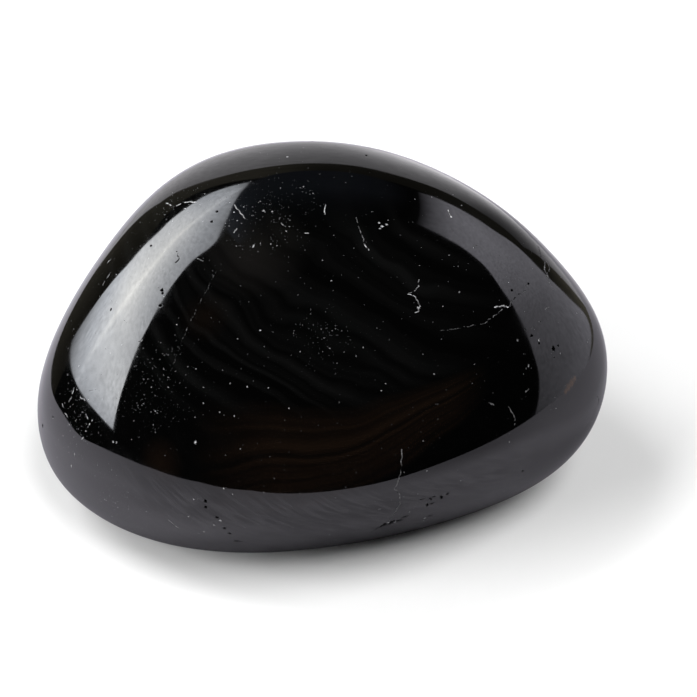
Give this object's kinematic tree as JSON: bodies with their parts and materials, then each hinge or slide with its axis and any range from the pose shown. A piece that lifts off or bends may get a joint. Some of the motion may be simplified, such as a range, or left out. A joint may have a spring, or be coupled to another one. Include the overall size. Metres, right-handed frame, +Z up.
{
  "type": "tumbled obsidian pebble",
  "caption": "Smooth, rounded pebble of black volcanic glass with softly worn flats, lying on its flattened underside.",
  "frame": {"origin": "on the resting face's plane, under the centre of the pebble's bounding box", "axes": "+Z up from the resting face, +X along the pebble's length towards its narrower end, and the long front slope looks along -Y"},
  "size_m": [0.0418, 0.0372, 0.0245],
  "materials": {
    "obsidian": "tumble-polished volcanic glass, with faint brown and smoky flow bands and small open pits"
  },
  "bodies": {
    "root": {"obsidian_pebble": "obsidian"}
  },
  "joints": []
}
